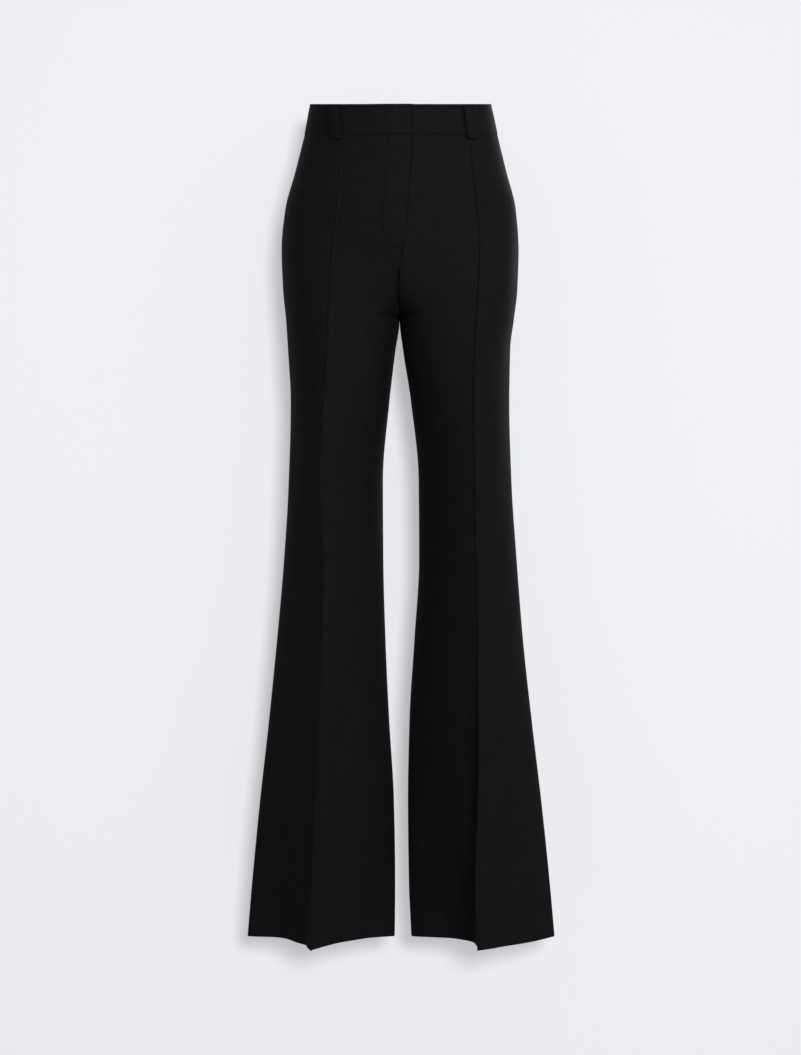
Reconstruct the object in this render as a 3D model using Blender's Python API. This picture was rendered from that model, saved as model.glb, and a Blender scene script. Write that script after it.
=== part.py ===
"""Flared trousers with stitched front creases, filled out as when worn.

Every piece is a closed wall of cloth: four leg panels, a waistband in three pieces and five belt loops.
The panels are lofted through sections. A section runs from the centre front round the side to the centre
back, and below the crotch it closes into a leg. The origin is the middle of the waist's top edge, +Z is up
and the front faces -Y. Right and left are the wearer's, so the right leg is at -X. Sizes are in millimetres
until a mesh is made.
"""

import math

import bmesh
import bpy
import numpy as np

METRES = 0.001

# Lengths down the body, from the waist's top edge at the side.
BAND_DROP = 40.0
FLY_DROP = 196.0
CROTCH_DROP = 289.0
HEM_DROP = 1115.0
HEM_TURN = 38.0

# Walls and gaps.
CLOTH_WALL = 1.5
HEM_WALL = 2.6
BAND_PROUD = 0.6
BAND_WALL = 2.2
BAND_EDGE = {"drop": 1.2, "outer": -0.4, "inner": -1.2}
SEAM_GAP = 0.3

# The seam that joins the two legs: a front and a back arch that meet at the crotch point.
CROTCH_BEHIND = 12.0
ARCH_HEIGHT = {"front": 84.0, "back": 149.0}
FRONT_SEAM = (
    ("drop", "x"),
    (0, 15.0),
    (40, 14.3),
    (155, 8.4),
    (196, 5.2),
    (217, 2.6),
    (236, -1.9),
    (263, -4.2),
    (289, -1.3),
)
BACK_SEAM = (
    ("drop", "x"),
    (0, 0.0),
    (200, 0.0),
    (289, -1.3),
)

# The fly: the right front laps over the left, which runs on underneath it. Each fade is a range of drops
# round the fly's lower end. The band laps in the same way, and rises to its lap over a short ramp.
FLY_UNDERLAP = 10.0
FLY_RISE = 2.1
FLY_WIDTH = 30.0
UNDERLAP_FADE = (-40.0, -20.0)
FLY_RISE_FADE = (-8.0, 12.0)
BAND_UNDERLAP = 25.0
BAND_RISE = 2.8
BAND_RAMP = 10.0
BAND_LAP_CLEARANCE = 2.0

# The upper body's section is a superellipse, which turns into two legs below the hip.
BODY_ROUNDNESS = 2.25
BODY_ENDS = 140.0
LEGS_BEGIN = 272.0

# The waist's top edge sinks towards the front and rises a little towards the back.
FRONT_SINK = 0.189
BACK_RISE = 0.065
LEVEL_DROP = 230.0

# The stitched crease down each front: a small ridge in the outer points, over a plain inside.
TUCK_HALF = 1.2
TUCK_HEIGHT = 1.3
TUCK_FADE = 16.0

# Belt loops: flat straps that touch down at both ends and stand a little off the band between them.
LOOP_WIDTH = 13.0
LOOP_WALL = 1.8
LOOP_DROP = 47.0
LOOP_SEAT = 1.0
LOOP_STAND = 2.8
LOOP_BULGE = 2.2
LOOP_ROWS = (0.6, 4.0, 10.0, 20.0, 30.0, 38.0, 43.0, LOOP_DROP)
LOOPS = (
    ("place", "panel", "x_top", "x_bottom"),
    ("front_right", "front", -84.5, -84.0),
    ("front_left", "front", 87.0, 93.5),
    ("back_right", "back", -78.0, -78.0),
    ("back_left", "back", 78.0, 78.0),
    ("centre_back", "back", 0.0, 0.0),
)

# One row for each level section of the whole garment: the distances of the side seams and the creases from
# the middle plane.
OUTLINE = (
    ("drop", "side_right", "side_left", "crease_right", "crease_left"),
    (0, 120.6, 120.8, 76.5, 90.0),
    (40, 128.1, 129.5, 76.8, 91.8),
    (90, 140.6, 141.6, 78.0, 94.8),
    (142, 154.2, 154.5, 81.0, 100.0),
    (196, 158.7, 158.0, 87.0, 103.8),
    (249, 157.2, 156.4, 91.0, 102.5),
    (289, 153.4, 151.8, 92.8, 99.8),
    (330, 150.6, 146.8, 94.8, 97.0),
    (397, 147.0, 145.7, 99.7, 95.8),
    (504, 149.5, 148.5, 104.7, 97.6),
    (611, 156.1, 155.7, 100.9, 99.0),
    (718, 165.5, 164.2, 102.3, 101.6),
    (825, 176.2, 175.8, 106.0, 102.1),
    (933, 188.4, 188.8, 110.3, 100.6),
    (1040, 198.9, 200.1, 114.0, 97.5),
    (1115, 205.2, 206.8, 116.3, 100.0),
)
# The upper body's depth before and behind the side seams, at the middle.
BODY = (
    ("drop", "front", "back"),
    (0, 92, 92),
    (40, 95, 97),
    (90, 103, 113),
    (142, 108, 128),
    (196, 109, 135),
    (249, 106, 131),
    (289, 100, 120),
)
# Each leg: the distance of its inseam from the middle plane, its depth at the front and back creases, how
# squarely it turns in between the legs, how far a crease pulls the round leg to a ridge, and its share of
# the hem's own form.
LEGS = (
    ("drop", "inseam_right", "inseam_left", "front", "back", "squareness", "pressed", "flared"),
    (142, 1.45, -1.15, 97, 116, 3.0, 0.05, 0.00),
    (249, 1.45, -1.15, 99, 122, 3.4, 0.08, 0.00),
    (289, 1.45, -1.15, 99, 117, 3.4, 0.10, 0.00),
    (330, 6.80, 3.60, 98, 110, 3.1, 0.14, 0.00),
    (397, 14.7, 13.9, 95, 100, 2.6, 0.22, 0.00),
    (504, 23.5, 24.3, 87, 85, 2.2, 0.32, 0.00),
    (611, 22.9, 24.9, 82, 76, 2.0, 0.40, 0.00),
    (718, 20.0, 18.5, 84, 73, 2.0, 0.50, 0.10),
    (825, 15.0, 11.9, 90, 75, 2.0, 0.60, 0.30),
    (933, 8.60, 9.80, 97, 80, 2.0, 0.70, 0.60),
    (1040, 6.80, 11.0, 103, 85, 2.0, 0.80, 0.85),
    (1115, 7.40, 14.3, 106, 88, 2.0, 0.85, 1.00),
)
# The form of each flank of the front at the hem, from the crease: height = (1 - way ** reach) ** fall. The
# hem's edge lifts by up to lift between the crease and the seam.
HEM_FLANKS = {
    ("right", "outer"): {"reach": 1.0, "fall": 3.2, "lift": 3.3},
    ("right", "inner"): {"reach": 1.0, "fall": 1.8, "lift": 3.0},
    ("left", "outer"): {"reach": 1.0, "fall": 1.0, "lift": 1.2},
    ("left", "inner"): {"reach": 0.215, "fall": 1.0, "lift": 3.2},
}
BACK_PRESSED = 0.6

# How finely the pieces are cut.
FLANK_COLUMNS = {"front": 7, "back": 7}
BODY_ROWS = 13
LEG_ROWS = 20
HEM_STEP = 2.0
BAND_COLUMNS = 16
CURVE_POINTS = 61

# A wall is lengthened at a corner by at most the inverse of the first. An edge past the second is sharp.
SHARPEST_CORNER = 0.62
SHARP_EDGE = math.radians(40)

# A band's point nearer than this to the middle plane of the sides lies at the side seam. A loop's outward
# direction is taken over a short step each way, and a place past the waist stands for the curve's own end.
AT_SIDE = 1.0
HALF_STEP = 0.5
PAST_THE_WAIST = 1000.0

# Cloth and its colour: a fine black wool twill.
CLOTH_COLOUR = (0.0085, 0.0080, 0.0085, 1.0)
CLOTH_ROUGHNESS = 0.82

SIDE_OF = {"right": -1.0, "left": 1.0}
FACING = {"front": -1.0, "back": 1.0}


def smooth_read(at, values, x):
    """Reads a column between its rows on a smooth curve that never swings past them."""
    at, values = np.asarray(at, float), np.asarray(values, float)
    slopes = np.diff(values) / np.diff(at)
    bends = np.zeros(len(at))
    bends[0], bends[-1] = slopes[0], slopes[-1]
    for i in range(1, len(at) - 1):
        if slopes[i - 1] * slopes[i] > 0:
            bends[i] = 2 * slopes[i - 1] * slopes[i] / (slopes[i - 1] + slopes[i])
    x = min(max(x, at[0]), at[-1])
    i = min(int(np.searchsorted(at, x, side="right")) - 1, len(at) - 2)
    step = at[i + 1] - at[i]
    t = (x - at[i]) / step
    return float(
        values[i] * (1 + 2 * t) * (1 - t) ** 2
        + values[i + 1] * t * t * (3 - 2 * t)
        + step * t * (1 - t) * (bends[i] * (1 - t) - bends[i + 1] * t)
    )


def size(table, column, drop):
    """A table's value at this drop."""
    k = table[0].index(column)
    drops = [row[0] for row in table[1:]]
    return smooth_read(drops, [row[k] for row in table[1:]], drop)


def ease(x, start, end):
    """0 before start, 1 past end, and smooth between."""
    t = min(max((x - start) / (end - start), 0.0), 1.0)
    return t * t * (3 - 2 * t)


def superellipse(way, roundness):
    """A quarter of a superellipse: 1 in the middle, 0 at its end."""
    return np.clip(1 - way**roundness, 0, 1) ** (1 / roundness)


def height_of(drop, y):
    """The height of a point this far down, as the waist's slope fades towards the hip."""
    slope = FRONT_SINK if y < 0 else BACK_RISE
    return -drop + slope * y * (1 - ease(drop, 0, LEVEL_DROP))


def seam_between_legs(leg, panel, drop):
    """Where the seam that joins the legs, or the inseam below the crotch, lies: x, and depth to the panel."""
    behind = CROTCH_BEHIND * (1 if panel == "back" else -1)
    if drop >= CROTCH_DROP:
        fade = (HEM_DROP - drop) / (HEM_DROP - CROTCH_DROP)
        return SIDE_OF[leg] * size(LEGS, "inseam_" + leg, drop), behind * fade
    rise = min((CROTCH_DROP - drop) / ARCH_HEIGHT[panel], 1.0)
    arch = math.sqrt(1 - (1 - rise) ** 2)
    x = size(FRONT_SEAM if panel == "front" else BACK_SEAM, "x", drop)
    if panel == "front" and leg == "left":
        x -= FLY_UNDERLAP * (1 - ease(drop - FLY_DROP, *UNDERLAP_FADE))
    x += SIDE_OF[leg] * SEAM_GAP / 2
    return x, behind + (size(BODY, panel, drop) - behind) * arch


def flank(leg, panel, part, drop):
    """A section's points from the crease to the side seam (outer) or the seam between the legs (inner)."""
    depth = size(LEGS, panel, drop)
    side = size(OUTLINE, "side_" + leg, drop)
    crease = SIDE_OF[leg] * size(OUTLINE, "crease_" + leg, drop)
    end_x, end_depth = SIDE_OF[leg] * side, 0.0
    if part == "inner":
        end_x, end_depth = seam_between_legs(leg, panel, drop)
    way = (1 - np.cos(np.linspace(0, math.pi, CURVE_POINTS))) / 2
    x = crease + (end_x - crease) * way
    body = size(BODY, panel, drop) * superellipse(abs(x) / side, BODY_ROUNDNESS)
    pressed = size(LEGS, "pressed", drop)
    flared = size(LEGS, "flared", drop)
    fold = 1 - way
    if panel == "front":
        hem = HEM_FLANKS[leg, part]
        fold = (1 - flared) * fold + flared * (1 - way ** hem["reach"]) ** hem["fall"]
    else:
        pressed *= BACK_PRESSED
    roundness = 2.0 if part == "outer" else size(LEGS, "squareness", drop)
    tube = (1 - pressed) * superellipse(way, roundness) + pressed * fold
    legs = ease(drop, BODY_ENDS, LEGS_BEGIN)
    y = (1 - legs) * body + legs * (end_depth + (depth - end_depth) * tube)
    return np.stack([x, FACING[panel] * y], axis=1)


def spaced(points, shares):
    """Points at these shares of the curve's length."""
    run = np.concatenate([[0], np.cumsum(np.linalg.norm(np.diff(points, axis=0), axis=1))])
    at = np.asarray(shares) * run[-1]
    return np.stack([np.interp(at, run, points[:, k]) for k in (0, 1)], axis=1)


def curve_length(points):
    return float(np.linalg.norm(np.diff(points, axis=0), axis=1).sum())


def outward(points, sign, closed):
    """Each point's outward direction, lengthened at a corner so that a wall keeps its thickness there."""
    steps = np.diff(points, axis=0)
    steps /= np.maximum(np.linalg.norm(steps, axis=1, keepdims=True), 1e-9)
    normals = sign * np.stack([steps[:, 1], -steps[:, 0]], axis=1)
    before = np.vstack([normals[-1:] if closed else normals[:1], normals])
    after = np.vstack([normals, normals[:1] if closed else normals[-1:]])
    middle = before + after
    middle /= np.linalg.norm(middle, axis=1, keepdims=True)
    return middle / np.clip((middle * before).sum(1, keepdims=True), SHARPEST_CORNER, 1)


def column_shares(panel, length):
    """Shares from the crease along a flank, with the stitched crease's own column on a front."""
    even = np.linspace(0, 1, FLANK_COLUMNS[panel] + 1)
    return np.insert(even, 1, TUCK_HALF / length) if panel == "front" else even


def section(leg, drop):
    """One level section, centre front to centre back: its points and outward directions."""
    order = (
        ("front", "inner", True),
        ("front", "outer", False),
        ("back", "outer", True),
        ("back", "inner", False),
    )
    runs = []
    for panel, part, toward_crease in order:
        curve = flank(leg, panel, part, drop)
        run = spaced(curve, column_shares(panel, curve_length(curve)))
        runs.append(run[::-1] if toward_crease else run)
    points = np.vstack([runs[0]] + [run[1:] for run in runs[1:]])
    return points, outward(points, SIDE_OF[leg], drop >= CROTCH_DROP)


def cloth_wall(name, outer, inner):
    """A closed wall between an outer and an inner grid of points, given in rows and columns."""
    rows, columns = outer.shape[:2]
    mesh = bmesh.new()
    skins = [[[mesh.verts.new(p * METRES) for p in row] for row in grid] for grid in (outer, inner)]
    for skin in skins:
        for i in range(rows - 1):
            for j in range(columns - 1):
                mesh.faces.new((skin[i][j], skin[i][j + 1], skin[i + 1][j + 1], skin[i + 1][j]))
    around = [(0, j) for j in range(columns - 1)]
    around += [(i, columns - 1) for i in range(rows - 1)]
    around += [(rows - 1, j) for j in range(columns - 1, 0, -1)]
    around += [(i, 0) for i in range(rows - 1, 0, -1)]
    for (i, j), (k, m) in zip(around, around[1:] + around[:1]):
        mesh.faces.new((skins[0][i][j], skins[0][k][m], skins[1][k][m], skins[1][i][j]))
    bmesh.ops.remove_doubles(mesh, verts=mesh.verts, dist=1e-6)
    bmesh.ops.recalc_face_normals(mesh, faces=mesh.faces)
    data = bpy.data.meshes.new(name)
    mesh.to_mesh(data)
    mesh.free()
    data.shade_smooth()
    data.set_sharp_from_angle(angle=SHARP_EDGE)
    piece = bpy.data.objects.new(name, data)
    data.materials.append(cloth_material(name))
    return piece


def cloth_material(name):
    material = bpy.data.materials.new(name + "_cloth")
    material.use_nodes = True
    shader = material.node_tree.nodes["Principled BSDF"]
    shader.inputs["Base Color"].default_value = CLOTH_COLOUR
    shader.inputs["Roughness"].default_value = CLOTH_ROUGHNESS
    shader.inputs["Metallic"].default_value = 0.0
    return material


def arch_rows(panel):
    """Drops of the body's rows where they meet the seam between the legs, evenly along its arch."""
    top = CROTCH_DROP - ARCH_HEIGHT[panel]
    straight = BODY_ROWS // 2
    upper = np.linspace(BAND_DROP, top, straight + 1)[:-1]
    angles = np.linspace(math.pi / 2, 0, BODY_ROWS - straight)
    return np.concatenate([upper, CROTCH_DROP - ARCH_HEIGHT[panel] * (1 - np.cos(angles))])


def row_drops(panel):
    """Each row's drop at the side seam and at the seam between the legs, waistband to hem."""
    leg = np.linspace(CROTCH_DROP, HEM_DROP - HEM_TURN, LEG_ROWS)[1:]
    turned = [HEM_DROP - HEM_TURN + HEM_STEP, HEM_DROP - HEM_TURN / 2, HEM_DROP]
    below = np.concatenate([leg, turned])
    at_side = np.concatenate([np.linspace(BAND_DROP, CROTCH_DROP, BODY_ROWS), below])
    at_seam = np.concatenate([arch_rows(panel), below])
    return at_side, at_seam


def fly_rise(leg, panel, drop, from_end):
    """How far the right front stands proud over the left near its free edge."""
    if (leg, panel) != ("right", "front"):
        return 0.0
    over = 1 - ease(from_end, FLY_WIDTH / 2, FLY_WIDTH)
    return FLY_RISE * over * (1 - ease(drop - FLY_DROP, *FLY_RISE_FADE))


def hem_lift(leg, panel, drop, toward_seam):
    """How much higher a point near a front's hem lies than a level cut."""
    if panel == "back":
        return 0.0
    part = "outer" if toward_seam < 0.5 else "inner"
    between = math.sin(math.pi * ((2 * toward_seam) % 1))
    near_hem = ease(drop, HEM_DROP - HEM_TURN / 2 - HEM_STEP / 2, HEM_DROP)
    return HEM_FLANKS[leg, part]["lift"] * between * near_hem


def leg_panel(leg, panel):
    """A front or back panel, from the waistband to the hem."""
    at_side, at_seam = row_drops(panel)
    front_columns = 2 * FLANK_COLUMNS["front"] + 3
    back_columns = 2 * FLANK_COLUMNS["back"] + 1
    columns = np.arange(front_columns)
    toward_seam = 1 - columns / (front_columns - 1)
    crease = front_columns // 2
    if panel == "back":
        columns = np.arange(front_columns - 1, front_columns + back_columns - 1)
        toward_seam = np.linspace(0, 1, back_columns)
        crease = None
    outer = np.zeros((len(at_side), len(columns), 3))
    inner = np.zeros_like(outer)
    for i, (side_drop, seam_drop) in enumerate(zip(at_side, at_seam)):
        for j, (column, share) in enumerate(zip(columns, toward_seam)):
            drop = side_drop + (seam_drop - side_drop) * share**2
            points, directions = section(leg, drop)
            point, direction = points[column], directions[column]
            edge = column in (0, front_columns - 1, len(points) - 1)
            if edge and not (share == 1 and drop < CROTCH_DROP):
                apart = np.array([-direction[1], direction[0]]) / np.linalg.norm(direction)
                toward = 1 if (share == 1) == (panel == "front") else -1
                point = point + apart * toward * SIDE_OF[leg] * SEAM_GAP / 2
            from_end = abs(points[column, 0] - points[0, 0])
            rise = fly_rise(leg, panel, drop, from_end)
            wall = HEM_WALL if drop > HEM_DROP - HEM_TURN + HEM_STEP / 2 else CLOTH_WALL
            tuck = TUCK_HEIGHT * ease(drop, LOOP_DROP, LOOP_DROP + TUCK_FADE) if j == crease else 0.0
            out = point + direction * (rise + tuck)
            into = point + direction * (rise - wall)
            if share == 1 and drop < CROTCH_DROP:
                out[0] = SIDE_OF[leg] * max(SIDE_OF[leg] * out[0], SIDE_OF[leg] * point[0])
                into[0] = SIDE_OF[leg] * max(SIDE_OF[leg] * into[0], SIDE_OF[leg] * point[0])
            height = height_of(drop, point[1]) + hem_lift(leg, panel, drop, share)
            outer[i, j] = (*out, height)
            inner[i, j] = (*into, height)
    if crease is not None:
        inner[:, crease - 1] = inner[:, crease]
        inner[:, crease + 1] = inner[:, crease]
    return cloth_wall(f"{panel}_{leg}", outer, inner)


def waist_curve(panel, drop, x_from, x_to):
    """The upper body's section between two places across, front or back."""
    steps = np.linspace(-math.pi / 2, math.pi / 2, 4 * CURVE_POINTS)
    right, left = size(OUTLINE, "side_right", drop), size(OUTLINE, "side_left", drop)
    side = np.where(steps < 0, right, left)
    x = side * np.sin(steps)
    y = size(BODY, panel, drop) * superellipse(abs(np.sin(steps)), BODY_ROUNDNESS)
    low, high = max(x_from, -right), min(x_to, left)
    ends = np.interp([low, high], x, y)
    keep = (x > low + 0.01) & (x < high - 0.01)
    x = np.concatenate([[low], x[keep], [high]])
    y = np.concatenate([[ends[0]], y[keep], [ends[1]]])
    return np.stack([x, FACING[panel] * y], axis=1)


def waistband(name, panel, x_from, x_to, rise_from=None):
    """A stretch of waistband. Past rise_from it stands proud, over the piece that runs under it."""
    rows = [(0.0, BAND_EDGE["outer"], BAND_EDGE["inner"])]
    for drop in (BAND_EDGE["drop"], BAND_DROP / 2, BAND_DROP - SEAM_GAP):
        rows.append((drop, BAND_PROUD, BAND_PROUD - BAND_WALL))
    outer = np.zeros((len(rows), BAND_COLUMNS + 1, 3))
    inner = np.zeros_like(outer)
    for i, (drop, out, into) in enumerate(rows):
        points = spaced(waist_curve(panel, drop, x_from, x_to), np.linspace(0, 1, BAND_COLUMNS + 1))
        directions = outward(points, -FACING[panel], False)
        for j, (point, direction) in enumerate(zip(points, directions)):
            if abs(point[1]) < AT_SIDE:
                direction = np.array([math.copysign(1, point[0]), 0.0])
                point = np.array([point[0], FACING[panel] * SEAM_GAP / 2])
            rise = BAND_RISE * ease(point[0], rise_from - BAND_RAMP, rise_from) if rise_from else 0.0
            height = height_of(drop, point[1])
            outer[i, j] = (*(point + direction * (out + rise)), height)
            inner[i, j] = (*(point + direction * (into + rise)), height)
    return cloth_wall(name, outer, inner)


def belt_loop(place, panel, x_top, x_bottom):
    """A strap from the waist's top edge to just below the band, standing a little off it between."""
    outer = np.zeros((len(LOOP_ROWS), 3, 3))
    inner = np.zeros_like(outer)
    for i, drop in enumerate(LOOP_ROWS):
        share = (drop - LOOP_ROWS[0]) / (LOOP_DROP - LOOP_ROWS[0])
        curve = waist_curve(panel, drop, -PAST_THE_WAIST, PAST_THE_WAIST)
        middle = x_top + (x_bottom - x_top) * share
        off = LOOP_SEAT + (LOOP_STAND - LOOP_SEAT) * min(1.0, LOOP_BULGE * math.sin(math.pi * share))
        for j, across in enumerate((-LOOP_WIDTH / 2, 0, LOOP_WIDTH / 2)):
            near = np.array([-HALF_STEP, 0.0, HALF_STEP]) + middle + across
            line = np.stack([near, np.interp(near, curve[:, 0], curve[:, 1])], axis=1)
            direction = outward(line, -FACING[panel], False)[1]
            height = height_of(drop, line[1, 1])
            outer[i, j] = (*(line[1] + direction * (off + LOOP_WALL)), height)
            inner[i, j] = (*(line[1] + direction * off), height)
    return cloth_wall("belt_loop_" + place, outer, inner)


def build():
    for old in list(bpy.data.objects):
        bpy.data.objects.remove(old, do_unlink=True)
    garment = bpy.data.collections.new("flared_trousers")
    bpy.context.scene.collection.children.link(garment)
    waist = bpy.data.objects.new("waist", None)
    garment.objects.link(waist)
    pieces = [leg_panel(leg, panel) for panel in ("front", "back") for leg in ("right", "left")]
    lap_end = size(FRONT_SEAM, "x", 0)
    lap_start = lap_end - BAND_UNDERLAP
    raised_from = lap_start - BAND_LAP_CLEARANCE
    pieces += [
        waistband("waistband_front_right", "front", -PAST_THE_WAIST, lap_end, rise_from=raised_from),
        waistband("waistband_front_left", "front", lap_start, PAST_THE_WAIST),
        waistband("waistband_back", "back", -PAST_THE_WAIST, PAST_THE_WAIST),
    ]
    pieces += [belt_loop(*row) for row in LOOPS[1:]]
    for piece in pieces:
        garment.objects.link(piece)
        piece.parent = waist


build()
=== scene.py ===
# %% [markdown]
# # Flared trousers with stitched front creases
#
# A pair of black wool trousers, filled out as when worn: high waist, a fly under a lap, a stitched crease down each
# front and legs that flare from the knee to long hems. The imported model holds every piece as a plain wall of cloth.
# This lesson dresses it: each piece is made again as a finer shell on the same form, with its folds, seams, stitches
# and weave.

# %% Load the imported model
import math

import bpy
import numpy as np
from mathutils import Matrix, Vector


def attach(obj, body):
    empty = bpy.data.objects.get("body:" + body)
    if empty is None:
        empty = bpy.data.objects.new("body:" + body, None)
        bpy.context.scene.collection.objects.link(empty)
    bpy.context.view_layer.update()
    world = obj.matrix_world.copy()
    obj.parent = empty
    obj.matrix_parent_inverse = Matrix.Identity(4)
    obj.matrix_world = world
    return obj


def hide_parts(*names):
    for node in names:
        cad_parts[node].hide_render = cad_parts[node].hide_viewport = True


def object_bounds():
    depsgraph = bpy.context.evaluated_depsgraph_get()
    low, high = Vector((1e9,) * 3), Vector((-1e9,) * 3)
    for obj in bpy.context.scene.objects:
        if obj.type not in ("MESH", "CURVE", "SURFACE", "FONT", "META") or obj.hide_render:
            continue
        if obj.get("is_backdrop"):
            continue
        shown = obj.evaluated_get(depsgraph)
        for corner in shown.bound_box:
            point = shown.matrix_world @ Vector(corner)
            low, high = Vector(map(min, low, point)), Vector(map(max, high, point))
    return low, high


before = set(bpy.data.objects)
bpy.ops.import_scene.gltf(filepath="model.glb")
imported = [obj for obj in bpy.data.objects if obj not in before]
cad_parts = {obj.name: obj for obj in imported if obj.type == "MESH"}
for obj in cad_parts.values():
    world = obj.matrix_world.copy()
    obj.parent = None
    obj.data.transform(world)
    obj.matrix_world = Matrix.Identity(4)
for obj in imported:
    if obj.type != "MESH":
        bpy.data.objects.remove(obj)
cad_low, cad_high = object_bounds()
MM = 0.001
print("pieces of cloth in the model:", sorted(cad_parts))

# %% [markdown]
# ## The garment's sizes
#
# A trouser form can be sculpted freely, but then it drifts away from its solid. Here the same short tables give the
# form again. Drops are lengths down the body from the waist's top edge, in millimetres, and right and left are the
# wearer's.

# %% Lengths, tables and hems
BAND_DROP, FLY_DROP, CROTCH_DROP, HEM_DROP, HEM_TURN = 40.0, 196.0, 289.0, 1115.0, 38.0
CROTCH_BEHIND, ARCH_HEIGHT = 12.0, {"front": 84.0, "back": 149.0}
FRONT_SEAM = ((0, 15.0), (40, 14.3), (155, 8.4), (196, 5.2), (217, 2.6), (236, -1.9), (263, -4.2), (289, -1.3))
BACK_SEAM = ((0, 0.0), (200, 0.0), (289, -1.3))
FLY_UNDERLAP, FLY_RISE, FLY_WIDTH = 10.0, 2.1, 30.0
BODY_ROUNDNESS, BODY_ENDS, LEGS_BEGIN = 2.25, 140.0, 272.0
FRONT_SINK, BACK_RISE, LEVEL_DROP = 0.189, 0.065, 230.0
OUTLINE = (
    ("drop", "side_right", "side_left", "crease_right", "crease_left"),
    (0, 120.6, 120.8, 76.5, 90.0),
    (40, 128.1, 129.5, 76.8, 91.8),
    (90, 140.6, 141.6, 78.0, 94.8),
    (142, 154.2, 154.5, 81.0, 100.0),
    (196, 158.7, 158.0, 87.0, 103.8),
    (249, 157.2, 156.4, 91.0, 102.5),
    (289, 153.4, 151.8, 92.8, 99.8),
    (330, 150.6, 146.8, 94.8, 97.0),
    (397, 147.0, 145.7, 99.7, 95.8),
    (504, 149.5, 148.5, 104.7, 97.6),
    (611, 156.1, 155.7, 100.9, 99.0),
    (718, 165.5, 164.2, 102.3, 101.6),
    (825, 176.2, 175.8, 106.0, 102.1),
    (933, 188.4, 188.8, 110.3, 100.6),
    (1040, 198.9, 200.1, 114.0, 97.5),
    (1115, 205.2, 206.8, 116.3, 100.0),
)
BODY = (
    ("drop", "front", "back"),
    (0, 92, 92),
    (40, 95, 97),
    (90, 103, 113),
    (142, 108, 128),
    (196, 109, 135),
    (249, 106, 131),
    (289, 100, 120),
)
LEGS = (
    ("drop", "inseam_right", "inseam_left", "front", "back", "squareness", "pressed", "flared"),
    (142, 1.45, -1.15, 97, 116, 3.0, 0.05, 0.00),
    (249, 1.45, -1.15, 99, 122, 3.4, 0.08, 0.00),
    (289, 1.45, -1.15, 99, 117, 3.4, 0.10, 0.00),
    (330, 6.80, 3.60, 98, 110, 3.1, 0.14, 0.00),
    (397, 14.7, 13.9, 95, 100, 2.6, 0.22, 0.00),
    (504, 23.5, 24.3, 87, 85, 2.2, 0.32, 0.00),
    (611, 22.9, 24.9, 82, 76, 2.0, 0.40, 0.00),
    (718, 20.0, 18.5, 84, 73, 2.0, 0.50, 0.10),
    (825, 15.0, 11.9, 90, 75, 2.0, 0.60, 0.30),
    (933, 8.60, 9.80, 97, 80, 2.0, 0.70, 0.60),
    (1040, 6.80, 11.0, 103, 85, 2.0, 0.80, 0.85),
    (1115, 7.40, 14.3, 106, 88, 2.0, 0.85, 1.00),
)
HEM_FLANKS = {
    ("right", "outer"): {"reach": 1.0, "fall": 3.2, "lift": 1.7},
    ("right", "inner"): {"reach": 1.0, "fall": 1.8, "lift": 1.7},
    ("left", "outer"): {"reach": 1.0, "fall": 1.0, "lift": -0.6},
    ("left", "inner"): {"reach": 0.215, "fall": 1.0, "lift": 2.4},
}
BACK_PRESSED = 0.6
SIDE_OF, FACING = {"right": -1.0, "left": 1.0}, {"front": -1.0, "back": 1.0}
print("from waist to hem:", HEM_DROP, "mm, in", len(OUTLINE) - 1, "levels of outline and", len(LEGS) - 1, "of legs")

# %% [markdown]
# ## One level section of the garment
#
# Down to the hip the section is one rounded oval. Below it each leg closes by itself: it is a rounded quarter on each
# side of the crease, and towards the hem the crease pulls it into a ridge. A table is read on a smooth curve, because
# straight steps between its rows would show as bands in the light. Where the legs part, the seam between them turns
# under in a sharp arch. Away from the seam its depth is averaged over a stretch of cloth, so the thighs stay smooth.

# %% Read a table on a smooth curve
def ease(x, start, end):
    """0 before start, 1 past end, and smooth between."""
    t = np.clip((np.asarray(x, float) - start) / (end - start), 0, 1)
    return t * t * (3 - 2 * t)


def smooth_read(at, values, x):
    """A smooth curve through the values that never swings past them."""
    at, values = np.asarray(at, float), np.asarray(values, float)
    slopes = np.diff(values) / np.diff(at)
    bends = np.zeros(len(at))
    bends[0], bends[-1] = slopes[0], slopes[-1]
    for i in range(1, len(at) - 1):
        if slopes[i - 1] * slopes[i] > 0:
            bends[i] = 2 * slopes[i - 1] * slopes[i] / (slopes[i - 1] + slopes[i])
    x = np.clip(x, at[0], at[-1])
    i = np.clip(np.searchsorted(at, x, side="right") - 1, 0, len(at) - 2)
    step = at[i + 1] - at[i]
    t = (x - at[i]) / step
    ends = values[i] * (1 + 2 * t) * (1 - t) ** 2 + values[i + 1] * t * t * (3 - 2 * t)
    return ends + step * t * (1 - t) * (bends[i] * (1 - t) - bends[i + 1] * t)


def size(table, column, drop):
    k = table[0].index(column)
    return smooth_read([row[0] for row in table[1:]], [row[k] for row in table[1:]], drop)


def line_read(line, drop):
    return smooth_read([point[0] for point in line], [point[1] for point in line], drop)


print("side seam to side seam at the hip:", round(float(size(OUTLINE, "side_right", 196) * 2)), "mm")


# %% A flank: from the crease to a seam
CURVE_POINTS = 121
SOFT_ARCH, SEAM_TURN = np.linspace(-26, 26, 27), 9
UNDERLAP_END = (FLY_DROP - 40, FLY_DROP - 20)


def superellipse(way, roundness):
    return np.clip(1 - way**roundness, 0, 1) ** (1 / roundness)


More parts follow.
